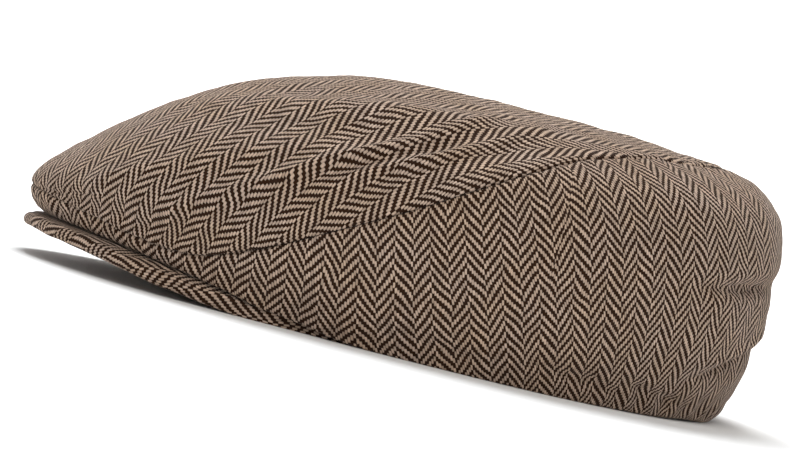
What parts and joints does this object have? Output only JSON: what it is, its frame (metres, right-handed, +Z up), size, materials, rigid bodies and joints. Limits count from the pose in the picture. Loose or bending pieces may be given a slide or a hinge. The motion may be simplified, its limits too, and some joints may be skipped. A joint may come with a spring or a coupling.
{
  "type": "ivy cap",
  "caption": "Flat ivy cap in herringbone tweed: top panel, two side panels, stiff peak sewn under the front, black sweatband and lining.",
  "frame": {"origin": "on the surface the cap rests on, below the middle of its outline", "axes": "+Z up, the peak points to -Y, the nape is at +Y, +X is the wearer's left side"},
  "size_m": [0.1958, 0.2638, 0.0915],
  "materials": {
    "tweed": "herringbone wool tweed, tan on dark brown",
    "tweed_under": "herringbone wool tweed, smooth under the peak",
    "sweatband_cotton": "matt black cotton",
    "lining_cloth": "matt black lining cloth"
  },
  "bodies": {
    "root": {"top_panel": "tweed", "side_panel_left": "tweed", "side_panel_right": "tweed", "peak_upper": "tweed", "peak_under": "tweed_under", "sweatband": "sweatband_cotton", "lining": "lining_cloth"}
  },
  "joints": []
}
